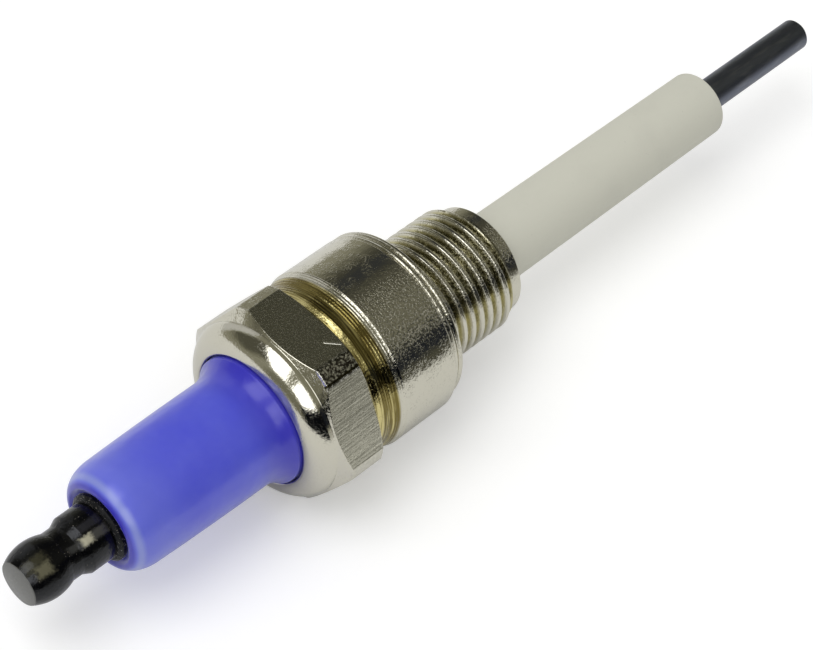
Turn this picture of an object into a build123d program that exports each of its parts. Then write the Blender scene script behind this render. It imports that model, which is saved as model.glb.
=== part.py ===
from build123d import *
import os
from math import cos, radians, sin, sqrt, tan

os.makedirs("parts", exist_ok=True)

# Frame: X runs along the plug's axis, from the terminal towards the bare rod, and X = 0 is the
# shell's seat face. Z points up: the plug lies on one flat of its hexagon and on its round collar.
# All sizes are in millimetres. Each section is drawn in the XY plane, with Y as the radius.

# Thread end of the shell
THREAD_R = 7.0
THREAD_START = 1.9
THREAD_END = 11.2
RELIEF_R = 6.15
RELIEF_LENGTH = 1.5
PILOT_R = 6.15
SHELL_END = 13.5
END_CHAMFER = 0.2

# Collar, groove and hexagon
COLLAR_R = 10.0
COLLAR_LENGTH = 7.2
COLLAR_FRONT_CHAMFER = 0.35
GROOVE_R = 9.4
GROOVE_LAND_R = 9.55
GROOVE_LAND_LENGTH = 0.6
HEX_FLATS = 20.0
HEX_CORNER_R = 11.1
HEX_FRONT = -11.6
HEX_REAR = -15.7
HEX_CHAMFER_DEG = 33.0
HEX_UNDERCUT = 0.5

# Rolled rim
RIM_ROLL_R = 3.0
RIM_CROWN_R = 10.0
RIM_SETBACK = 0.11
RIM_LAND_DROP = 0.2
RIM_HOLE_R = 7.2
RIM_LIP_LENGTH = 0.45
RIM_LIP_ROUND = 0.3

# Bores of the shell
BODY_BORE_R = 8.0
NOSE_BORE_R = 4.6
LEDGE_DEG = 30.0
LEDGE_X = -2.4

# Sealing gasket, folded from strip; it hangs loose on the thread's relief
GASKET_R = 9.7
GASKET_BORE_R = 7.3
GASKET_FOLD = 0.65
GASKET_LAYERS = 2
GASKET_ROUND = 0.3
GASKET_SHIFT = 0.25
GASKET_SHIFT_DEG = 25.6

# Stack inside the shell, from the ledge back to the rim
SEAT_WASHER_T = 0.4
SEAT_WASHER_MARGIN = 0.3
FLANGE_LENGTH = 7.0
RING_T = 1.1
RING_W = 1.0
RING_ROUND = 0.3
TALC_LENGTH = 2.8

# White ceramic
TUBE_ROOT_R = 4.0
TUBE_TIP_R = 3.76
TUBE_END = 48.8
TUBE_EDGE_ROUND = 0.25
NECK_R = 3.4
NECK_END = -37.7
NOSE_FILLET = 0.5

# Rod, glass seal and stud inside the ceramic
ROD_R = 1.815
ROD_END = 66.4
ROD_CHAMFER = 0.35
ROD_HEAD_LENGTH = 1.2
STEP_X = -5.0
CORE_BORE_R = 2.4
SEAL_LENGTH = 5.3
STUD_FOOT_LENGTH = 4.5
STUD_FOOT_RIBS = 5
STUD_RIB_DEPTH = 0.2
STUD_STEM_R = 1.5
STUD_THREAD_R = 2.0
STUD_THREAD_LENGTH = 9.0
STUD_CHAMFER = 0.3

# Blue upper insulator
SLEEVE_MID_R = 6.0
SLEEVE_MID_DROP = 0.06
SLEEVE_TAPER = 0.02
SLEEVE_TOP_R = 5.79
SLEEVE_TOP_ROUND = 3.0
SLEEVE_TOP_DISH_R = 4.2
SLEEVE_TOP_DISH = 0.35
SLEEVE_WAIST_X = -21.5
SLEEVE_FLARE_R = 7.05
SLEEVE_SHOULDER_X = -19.0
SLEEVE_FLANGE_T = 2.3

# Terminal ring and nut
TERMINAL_RING_R = 3.62
TERMINAL_RING_T = 0.8
TERMINAL_RING_CHAMFER = 0.12
NUT_BARREL_R = 3.07
NUT_BARREL_LENGTH = 2.6
NUT_SHOULDER_LENGTH = 0.9
NUT_NECK_R = 2.63
NUT_NECK_LENGTH = 1.3
NUT_BALL_R = 3.03
NUT_BALL_BACK = 1.9
NUT_END_R = 2.4
NUT_LENGTH = 9.2
NUT_EDGE_LENGTH = 0.7
NUT_EDGE_RISE = 0.33
NUT_NECK_EASE = 0.1
NUT_END_WALL = 2.3
DRILL_POINT_DEG = 31.0

# Clearances
SLIP = 0.05
BORE_SLIP = 0.085


def toward(radius, angle_deg):
    """Give the Y and Z of a point at this radius, turned about X from +Y towards +Z."""
    return radius * cos(radians(angle_deg)), radius * sin(radians(angle_deg))


# Places that follow from the sizes above
ledge_inner_x = LEDGE_X + (BODY_BORE_R - NOSE_BORE_R) * tan(radians(LEDGE_DEG))
washer_shift = SEAT_WASHER_T / cos(radians(LEDGE_DEG))
flange_r = BODY_BORE_R - 3 * SLIP
flange_front = LEDGE_X - washer_shift + (BODY_BORE_R - flange_r) * tan(radians(LEDGE_DEG))
flange_rear = flange_front - FLANGE_LENGTH
lower_ring_rear = flange_rear - RING_T
talc_rear = lower_ring_rear - TALC_LENGTH
upper_ring_rear = talc_rear - RING_T
sleeve_flange_rear = upper_ring_rear - SLEEVE_FLANGE_T
rim_centre_x = HEX_REAR - RIM_SETBACK
rim_centre_r = RIM_CROWN_R - RIM_ROLL_R
rim_tip_x = rim_centre_x - RIM_ROLL_R
rim_end_r = RIM_HOLE_R + RIM_LIP_ROUND
rim_end_x = rim_centre_x - sqrt(RIM_ROLL_R**2 - (rim_end_r - rim_centre_r) ** 2)
lip_x = rim_end_x + RIM_LIP_ROUND
barrel_front = NECK_END - TERMINAL_RING_T
nut_end = barrel_front - NUT_LENGTH
stud_end = nut_end + NUT_END_WALL

# Shell: one turned, cold-headed and plated steel body
with BuildPart() as shell:
    roll_start_r = RIM_CROWN_R - RIM_LAND_DROP
    chamfer_x = HEX_REAR - (HEX_CORNER_R - roll_start_r) * tan(radians(HEX_CHAMFER_DEG))
    roll_start_x = rim_centre_x - sqrt(RIM_ROLL_R**2 - (roll_start_r - rim_centre_r) ** 2)
    rim_start = (roll_start_x, roll_start_r)
    with BuildSketch():
        with BuildLine():
            rim_end = (rim_end_x, rim_end_r)
            rim_mid = (
                rim_centre_x - RIM_ROLL_R * cos(radians(45)),
                rim_centre_r + RIM_ROLL_R * sin(radians(45)),
            )
            ThreePointArc(rim_start, rim_mid, rim_end)
            RadiusArc(rim_end, (lip_x, RIM_HOLE_R), -RIM_LIP_ROUND)
            Polyline(
                (lip_x, RIM_HOLE_R),
                (lip_x + RIM_LIP_LENGTH, RIM_HOLE_R),
                (sleeve_flange_rear, BODY_BORE_R),
                (LEDGE_X, BODY_BORE_R),
                (ledge_inner_x, NOSE_BORE_R),
                (SHELL_END - END_CHAMFER, NOSE_BORE_R),
                (SHELL_END, NOSE_BORE_R + END_CHAMFER),
                (SHELL_END, PILOT_R - END_CHAMFER),
                (SHELL_END - END_CHAMFER, PILOT_R),
                (THREAD_END + THREAD_R - PILOT_R, PILOT_R),
                (THREAD_END, THREAD_R),
                (THREAD_START, THREAD_R),
                (RELIEF_LENGTH, RELIEF_R),
                (0, RELIEF_R),
                (0, COLLAR_R - COLLAR_FRONT_CHAMFER),
                (-COLLAR_FRONT_CHAMFER, COLLAR_R),
                (-COLLAR_LENGTH, COLLAR_R),
                (-COLLAR_LENGTH - GROOVE_LAND_LENGTH, COLLAR_R - COLLAR_FRONT_CHAMFER),
                (-COLLAR_LENGTH - 2 * GROOVE_LAND_LENGTH, GROOVE_LAND_R),
                (-COLLAR_LENGTH - 2.5 * GROOVE_LAND_LENGTH, GROOVE_R),
                (HEX_FRONT + HEX_UNDERCUT, GROOVE_R),
                (HEX_FRONT + HEX_UNDERCUT, HEX_FLATS / 2),
                (HEX_FRONT, HEX_CORNER_R),
                (HEX_REAR, HEX_CORNER_R),
                (chamfer_x, roll_start_r),
                rim_start,
            )
        make_face()
    revolve(axis=Axis.X)
    # Six flats, the lowest one level with the floor
    with BuildSketch(Plane.YZ.offset(rim_tip_x)):
        Circle(HEX_CORNER_R + 1)
        RegularPolygon(HEX_FLATS / 2, 6, major_radius=False, mode=Mode.SUBTRACT)
    extrude(amount=-COLLAR_LENGTH - GROOVE_LAND_LENGTH - rim_tip_x, mode=Mode.SUBTRACT)
shell.part.label = "shell"
export_step(shell.part, "parts/shell.step")

# Gasket: strip folded over on itself, so that its outer edge shows two rounded layers
with BuildPart() as gasket:
    shift_y, shift_z = toward(GASKET_SHIFT, GASKET_SHIFT_DEG)
    with BuildSketch(Plane((0, shift_y, shift_z), x_dir=(1, 0, 0), z_dir=(0, 0, 1))):
        for layer in range(GASKET_LAYERS):
            with Locations(((layer + 0.5) * GASKET_FOLD, (GASKET_R + GASKET_BORE_R) / 2)):
                RectangleRounded(GASKET_FOLD, GASKET_R - GASKET_BORE_R, GASKET_ROUND)
        with Locations((GASKET_FOLD * GASKET_LAYERS / 2, (GASKET_R + GASKET_BORE_R) / 2)):
            Rectangle(GASKET_FOLD, GASKET_R - GASKET_BORE_R - GASKET_FOLD)
    revolve(axis=Axis((0, shift_y, shift_z), (1, 0, 0)))
gasket.part.label = "gasket"
export_step(gasket.part, "parts/gasket.step")

# Seat washer: a thin cone between the shell's ledge and the ceramic's shoulder
with BuildPart() as seat_washer:
    washer_outer = BODY_BORE_R - SEAT_WASHER_MARGIN
    washer_inner = NOSE_BORE_R + SEAT_WASHER_MARGIN
    outer_x = LEDGE_X + (BODY_BORE_R - washer_outer) * tan(radians(LEDGE_DEG))
    inner_x = LEDGE_X + (BODY_BORE_R - washer_inner) * tan(radians(LEDGE_DEG))
    with BuildSketch():
        with BuildLine():
            Polyline(
                (outer_x, washer_outer),
                (inner_x, washer_inner),
                (inner_x - washer_shift, washer_inner),
                (outer_x - washer_shift, washer_outer),
                close=True,
            )
        make_face()
    revolve(axis=Axis.X)
seat_washer.part.label = "seat_washer"
export_step(seat_washer.part, "parts/seat_washer.step")

# White ceramic: nose tube, conical shoulder, flange and neck in one piece, with a stepped bore
with BuildPart() as ceramic_tube:
    shoulder_x = flange_front + (flange_r - TUBE_ROOT_R - NOSE_FILLET) * tan(radians(LEDGE_DEG))
    with BuildSketch():
        with BuildLine():
            Polyline(
                (TUBE_END, ROD_R + BORE_SLIP),
                (TUBE_END, TUBE_TIP_R - TUBE_EDGE_ROUND),
                (TUBE_END - TUBE_EDGE_ROUND, TUBE_TIP_R),
                (shoulder_x + NOSE_FILLET, TUBE_ROOT_R),
                (shoulder_x, TUBE_ROOT_R + NOSE_FILLET),
                (flange_front, flange_r),
                (flange_rear, flange_r),
                (flange_rear, NECK_R),
                (NECK_END, NECK_R),
                (NECK_END, CORE_BORE_R),
                (STEP_X, CORE_BORE_R),
                (STEP_X, ROD_R + BORE_SLIP),
                close=True,
            )
        make_face()
    revolve(axis=Axis.X)
    tip_edges = ceramic_tube.edges().filter_by(GeomType.CIRCLE).group_by(Axis.X)[-2]
    fillet(tip_edges, TUBE_EDGE_ROUND / 3)
ceramic_tube.part.label = "ceramic_tube"
export_step(ceramic_tube.part, "parts/ceramic_tube.step")

# Two packing rings hold the talc between them
with BuildPart() as packing_ring_lower:
    with BuildSketch():
        with Locations((flange_rear - RING_T / 2, BODY_BORE_R - SLIP - RING_W / 2)):
            RectangleRounded(RING_T, RING_W, RING_ROUND)
    revolve(axis=Axis.X)
packing_ring_lower.part.label = "packing_ring_lower"
export_step(packing_ring_lower.part, "parts/packing_ring_lower.step")

with BuildPart() as packing_ring_upper:
    with BuildSketch():
        with Locations((talc_rear - RING_T / 2, BODY_BORE_R - SLIP - RING_W / 2)):
            RectangleRounded(RING_T, RING_W, RING_ROUND)
    revolve(axis=Axis.X)
packing_ring_upper.part.label = "packing_ring_upper"
export_step(packing_ring_upper.part, "parts/packing_ring_upper.step")

with BuildPart() as talc_packing:
    with BuildSketch(Plane.YZ.offset(talc_rear)):
        Circle(BODY_BORE_R - SLIP)
        Circle(NECK_R + SLIP, mode=Mode.SUBTRACT)
    extrude(amount=TALC_LENGTH)
talc_packing.part.label = "talc_packing"
export_step(talc_packing.part, "parts/talc_packing.step")

# Blue upper insulator: dished end, large round, slight taper, waist, flare and foot flange
with BuildPart() as upper_insulator:
    sleeve_bore_r = NECK_R + SLIP
    ring_front = NECK_END
    dish_x = ring_front - SLEEVE_TOP_DISH
    round_x = dish_x + SLEEVE_TOP_ROUND
    top_rise = SLEEVE_TOP_R - SLEEVE_TOP_DISH_R
    with BuildSketch():
        with BuildLine():
            Polyline(
                (ring_front, sleeve_bore_r),
                (ring_front, TERMINAL_RING_R + SLIP),
                (dish_x, SLEEVE_TOP_DISH_R),
            )
            Spline(
                (dish_x, SLEEVE_TOP_DISH_R),
                (
                    round_x - SLEEVE_TOP_ROUND * cos(radians(45)),
                    SLEEVE_TOP_DISH_R + top_rise * sin(radians(45)),
                ),
                (round_x, SLEEVE_TOP_R),
                tangents=((0, 1), (1, 0)),
            )
            Spline(
                (round_x, SLEEVE_TOP_R),
                ((round_x + SLEEVE_WAIST_X) / 2, SLEEVE_MID_R - SLEEVE_MID_DROP),
                (SLEEVE_WAIST_X, SLEEVE_MID_R),
                tangents=((1, SLEEVE_TAPER), (1, 0)),
            )
            TangentArc(
                (SLEEVE_WAIST_X, SLEEVE_MID_R),
                (SLEEVE_SHOULDER_X, SLEEVE_FLARE_R),
                tangent=(1, 0),
            )
            Polyline(
                (SLEEVE_SHOULDER_X, SLEEVE_FLARE_R),
                (lip_x + RIM_LIP_LENGTH, RIM_HOLE_R - 2 * SLIP),
                (sleeve_flange_rear + SLIP, BODY_BORE_R - 2 * SLIP),
                (upper_ring_rear, BODY_BORE_R - 2 * SLIP),
                (upper_ring_rear, sleeve_bore_r),
                (ring_front, sleeve_bore_r),
            )
        make_face()
    revolve(axis=Axis.X)
upper_insulator.part.label = "upper_insulator"
export_step(upper_insulator.part, "parts/upper_insulator.step")

# Rod with an upset head that rests on the step of the ceramic's bore
with BuildPart() as electrode_rod:
    with BuildSketch(Plane.YZ.offset(STEP_X)):
        Circle(ROD_R)
    extrude(amount=ROD_END - STEP_X)
    with BuildSketch(Plane.YZ.offset(STEP_X - ROD_HEAD_LENGTH)):
        Circle(CORE_BORE_R - BORE_SLIP)
    extrude(amount=ROD_HEAD_LENGTH)
    chamfer(electrode_rod.edges().filter_by(GeomType.CIRCLE).sort_by(Axis.X)[-1], ROD_CHAMFER)
electrode_rod.part.label = "electrode_rod"
export_step(electrode_rod.part, "parts/electrode_rod.step")

# Conductive glass, melted between the rod's head and the stud's foot
seal_front = STEP_X - ROD_HEAD_LENGTH
seal_rear = seal_front - SEAL_LENGTH
with BuildPart() as glass_seal:
    with BuildSketch(Plane.YZ.offset(seal_rear)):
        Circle(CORE_BORE_R - SLIP)
    extrude(amount=SEAL_LENGTH)
glass_seal.part.label = "glass_seal"
export_step(glass_seal.part, "parts/glass_seal.step")

# Terminal stud: ribbed foot on the glass, thin stem, and a threaded end inside the nut
with BuildPart() as terminal_stud:
    with BuildSketch(Plane.YZ.offset(seal_rear)):
        Circle(CORE_BORE_R - BORE_SLIP)
    extrude(amount=-STUD_FOOT_LENGTH)
    with BuildSketch(Plane.YZ.offset(seal_rear - STUD_FOOT_LENGTH)):
        Circle(STUD_STEM_R)
    extrude(amount=stud_end - seal_rear + STUD_FOOT_LENGTH)
    with BuildSketch(Plane.YZ.offset(stud_end)):
        Circle(STUD_THREAD_R)
    extrude(amount=STUD_THREAD_LENGTH)
    rib_pitch = STUD_FOOT_LENGTH / STUD_FOOT_RIBS
    with BuildSketch():
        for rib in range(1, STUD_FOOT_RIBS):
            with Locations((seal_rear - rib * rib_pitch, CORE_BORE_R - BORE_SLIP)):
                Rectangle(rib_pitch / 2, 2 * STUD_RIB_DEPTH)
    revolve(axis=Axis.X, mode=Mode.SUBTRACT)
    chamfer(terminal_stud.edges().filter_by(GeomType.CIRCLE).sort_by(Axis.X)[0], STUD_CHAMFER)
terminal_stud.part.label = "terminal_stud"
export_step(terminal_stud.part, "parts/terminal_stud.step")

# Terminal ring under the nut
with BuildPart() as terminal_ring:
    with BuildSketch(Plane.YZ.offset(NECK_END - TERMINAL_RING_T)):
        Circle(TERMINAL_RING_R)
        Circle(STUD_THREAD_R + SLIP, mode=Mode.SUBTRACT)
    extrude(amount=TERMINAL_RING_T)
    outer_edges = terminal_ring.edges().filter_by(GeomType.CIRCLE).group_by(Axis.X)[0]
    chamfer(outer_edges.sort_by(SortBy.RADIUS)[-1], TERMINAL_RING_CHAMFER)
terminal_ring.part.label = "terminal_ring"
export_step(terminal_ring.part, "parts/terminal_ring.step")

# Terminal nut: barrel, neck and ball-shaped head for a push-on lead
barrel_rear = barrel_front - NUT_BARREL_LENGTH
neck_front = barrel_rear - NUT_SHOULDER_LENGTH
neck_rear = neck_front - NUT_NECK_LENGTH
ball_x = neck_rear - NUT_BALL_BACK
with BuildPart() as terminal_nut:
    with BuildSketch():
        with BuildLine():
            Polyline(
                (nut_end, 0),
                (nut_end, NUT_END_R),
            )
            Spline(
                (nut_end, NUT_END_R),
                (nut_end + NUT_EDGE_LENGTH, NUT_END_R + NUT_EDGE_RISE),
                (ball_x, NUT_BALL_R),
                (neck_rear + NUT_NECK_EASE, NUT_NECK_R),
                tangents=((0.55, 1), (1, 0)),
            )
            Polyline(
                (neck_rear + NUT_NECK_EASE, NUT_NECK_R),
                (neck_front, NUT_NECK_R),
                (barrel_rear, NUT_BARREL_R),
                (barrel_front, NUT_BARREL_R),
                (barrel_front, STUD_THREAD_R + SLIP),
                (stud_end - SLIP, STUD_THREAD_R + SLIP),
                (stud_end - SLIP - STUD_THREAD_R * tan(radians(DRILL_POINT_DEG)), 0),
                (nut_end, 0),
            )
        make_face()
    revolve(axis=Axis.X)
terminal_nut.part.label = "terminal_nut"
export_step(terminal_nut.part, "parts/terminal_nut.step")
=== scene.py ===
"""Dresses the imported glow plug: finely turned pieces, worn finishes, a soft studio and the camera.

Lengths are in millimetres, and a name that ends in deg holds degrees. X runs along the axis from the
terminal to the rod, and a place on a turned outline is its X and its radius.
"""

import logging
import math
from abc import ABC, abstractmethod
from dataclasses import dataclass, field
from enum import Enum

import bpy
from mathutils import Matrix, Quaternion, Vector


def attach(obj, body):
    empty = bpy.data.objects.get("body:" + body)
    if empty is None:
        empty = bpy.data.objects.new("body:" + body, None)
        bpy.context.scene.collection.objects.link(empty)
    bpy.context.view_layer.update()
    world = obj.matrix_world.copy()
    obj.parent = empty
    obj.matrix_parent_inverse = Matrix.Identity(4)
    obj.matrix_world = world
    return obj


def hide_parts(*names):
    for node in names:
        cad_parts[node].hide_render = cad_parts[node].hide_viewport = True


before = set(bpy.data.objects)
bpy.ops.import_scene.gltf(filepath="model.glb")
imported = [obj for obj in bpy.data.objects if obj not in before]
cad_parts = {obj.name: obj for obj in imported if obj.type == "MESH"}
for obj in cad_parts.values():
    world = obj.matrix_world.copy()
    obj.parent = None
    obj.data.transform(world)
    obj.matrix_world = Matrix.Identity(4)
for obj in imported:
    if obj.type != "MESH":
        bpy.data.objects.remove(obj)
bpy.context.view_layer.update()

MM = 0.001
TURN = 2 * math.pi
MERGE = 0.0005 * MM
LOG = logging.getLogger("glow_plug")

Colour = tuple[float, float, float, float]
Pair = tuple[float, float]
Triple = tuple[float, float, float]
Socket = bpy.types.NodeSocket
Piece = bpy.types.Object
Value = float | tuple | Socket

NOWHERE: Triple = (90.0, 91.0, 0.4)


def shade(red: float, green: float, blue: float) -> Colour:
    """Give an opaque colour from linear red, green and blue."""
    return (red, green, blue, 1.0)


@dataclass(frozen=True)
class Grain:
    """A soft noise: features to the millimetre, detail, where its spots start and end, and stretch."""

    scale: float
    detail: float = 3.0
    spots: Pair = (0.0, 1.0)
    stretch: Triple | None = None


class Wiring:
    """Adds and joins the nodes of one material or world."""

    mix_inputs: dict[str, tuple[int, int, int]] = {"RGBA": (0, 6, 7), "FLOAT": (0, 2, 3)}
    mix_output: dict[str, int] = {"RGBA": 2, "FLOAT": 0}

    def __init__(self, tree: bpy.types.NodeTree) -> None:
        """Clear the tree and keep it."""
        self.tree = tree
        tree.nodes.clear()

    def put(self, socket: Socket, value: Value) -> None:
        """Join a socket to another, or set its number or colour.

        Args:
            socket: the input that is fed.
            value: an output to join, or a plain value to set.
        """
        if isinstance(value, Socket):
            self.tree.links.new(value, socket)
        else:
            socket.default_value = value

    def feed(self, node: bpy.types.Node, **inputs: Value) -> None:
        """Feed a node's inputs.

        Args:
            node: the node.
            inputs: values by socket name, with an underscore for each space.
        """
        for name, value in inputs.items():
            self.put(node.inputs[name.replace("_", " ")], value)

    def node(self, kind: str, **inputs: Value) -> bpy.types.Node:
        """Add a node and feed its inputs.

        Args:
            kind: the node's Blender type, after the word ShaderNode.
            inputs: values by socket name, with an underscore for each space.

        Returns:
            The new node.
        """
        made = self.tree.nodes.new(f"ShaderNode{kind}")
        self.feed(made, **inputs)
        return made

    def calc(self, how: str, *values: Value) -> Socket:
        """Work out one number with Math nodes.

        Args:
            how: the operation.
            values: the numbers, which from the third on join the result one by one.

        Returns:
            The result's socket.
        """
        made = self.node("Math")
        made.operation = how
        for socket, value in zip(made.inputs, values[:2]):
            self.put(socket, value)
        result = made.outputs[0]
        return self.calc(how, result, *values[2:]) if values[2:] else result

    def times(self, *values: Value) -> Socket:
        """Multiply numbers."""
        return self.calc("MULTIPLY", *values)

    def plus(self, *values: Value) -> Socket:
        """Add numbers."""
        return self.calc("ADD", *values)

    def minus(self, first: Value, second: Value) -> Socket:
        """Take the second number from the first."""
        return self.calc("SUBTRACT", first, second)

    def rise(self, value: Value, low: float, high: float) -> Socket:
        """Rise smoothly from 0 to 1.

        Args:
            value: what is compared.
            low: where the rise starts.
            high: where it ends.

        Returns:
            The share, from 0 to 1.
        """
        made = self.node("MapRange", Value=value, From_Min=low, From_Max=high)
        made.interpolation_type = "SMOOTHSTEP"
        return made.outputs[0]

    def fall(self, value: Value, low: float, high: float) -> Socket:
        """Fall smoothly from 1 at low to 0 at high."""
        return self.minus(1.0, self.rise(value, low, high))

    def band(self, value: Value, low: float, high: float, soft: float) -> Socket:
        """Give 1 between low and high, and 0 outside, with soft edges.

        Args:
            value: what is compared.
            low: where the band starts.
            high: where the band ends.
            soft: width of each edge.

        Returns:
            The band's share, from 0 to 1.
        """
        up = self.rise(value, low - soft / 2, low + soft / 2)
        return self.times(up, self.fall(value, high - soft / 2, high + soft / 2))

    def mix(self, share: Value, first: Value, second: Value, kind: str = "RGBA") -> Socket:
        """Mix two colours or two numbers.

        Args:
            share: 0 for all of the first, 1 for all of the second.
            first: the first colour or number.
            second: the second one.
            kind: RGBA for colours, FLOAT for numbers.

        Returns:
            The mixture's socket.
        """
        made = self.node("Mix")
        made.data_type = kind
        for place, value in zip(self.mix_inputs[kind], (share, first, second)):
            self.put(made.inputs[place], value)
        return made.outputs[self.mix_output[kind]]

    def blend(self, share: Value, first: Value, second: Value) -> Socket:
        """Mix two numbers by a share."""
        return self.mix(share, first, second, "FLOAT")

    def stretch(self, vector: Value, x: float, y: float, z: float) -> Socket:
        """Scale a vector along each axis."""
        return self.node("Mapping", Vector=vector, Scale=(x, y, z)).outputs[0]


class Surface(Wiring):
    """One material's wiring, with its shader and the place of the point that is shaded.

    Lengths are in millimetres, and the turn about the axis is in radians, from +Y towards +Z.
    """

    def __init__(self, tree: bpy.types.NodeTree) -> None:
        """Add the shader, and work out the point's place from Object coordinates.

        Args:
            tree: the material's node tree.
        """
        super().__init__(tree)
        self.shader = self.node("BsdfPrincipled")
        self.node("OutputMaterial", Surface=self.shader.outputs[0])
        coords = self.node("TexCoord").outputs["Object"]
        self.point = self.stretch(coords, 1 / MM, 1 / MM, 1 / MM)
        self.x, self.y, self.z = self.node("SeparateXYZ", Vector=self.point).outputs
        square = self.plus(self.calc("POWER", self.y, 2.0), self.calc("POWER", self.z, 2.0))
        self.radius = self.calc("SQRT", square)
        self.turn = self.calc("ARCTAN2", self.z, self.y)

    def grain(self, grain: Grain) -> Socket:
        """Give a grain's noise.

        Args:
            grain: the grain.

        Returns:
            The noise, from 0 to 1.
        """
        vector = self.stretch(self.point, *grain.stretch) if grain.stretch else self.point
        noise = self.node("TexNoise", Vector=vector, Scale=grain.scale, Detail=grain.detail)
        return noise.outputs[0]

    def spots(self, grain: Grain) -> Socket:
        """Give the spots where a grain's noise is high."""
        return self.rise(self.grain(grain), *grain.spots)

    def bump(self, height: Value, depth: float, under: Value | None = None) -> Socket:
        """Turn a height from 0 to 1 into a bumped normal.

        Args:
            height: the height's socket.
            depth: what a height of 1 stands for, in millimetres.
            under: a normal that this bump is laid on.

        Returns:
            The bumped normal.
        """
        made = self.node("Bump", Height=height, Distance=depth * MM, Strength=1.0)
        if under is not None:
            self.put(made.inputs["Normal"], under)
        return made.outputs[0]


@dataclass(frozen=True)
class Finish(ABC):
    """A procedural finish that reads Object coordinates."""

    name: str

    @abstractmethod
    def wire(self, w: Surface) -> None:
        """Feed the shader's colour, roughness and normal.

        Args:
            w: the material's wiring.
        """

    def material(self) -> bpy.types.Material:
        """Make the Blender material.

        Returns:
            A node material with one Principled shader.
        """
        made = bpy.data.materials.new(self.name)
        made.use_nodes = True
        self.wire(Surface(made.node_tree))
        return made


class Cut(Enum):
    """How a face of the shell was made before it was plated, with its least and greatest roughness."""

    TURNED = (0.06, 0.12)
    MILLED = (0.20, 0.30)


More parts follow.
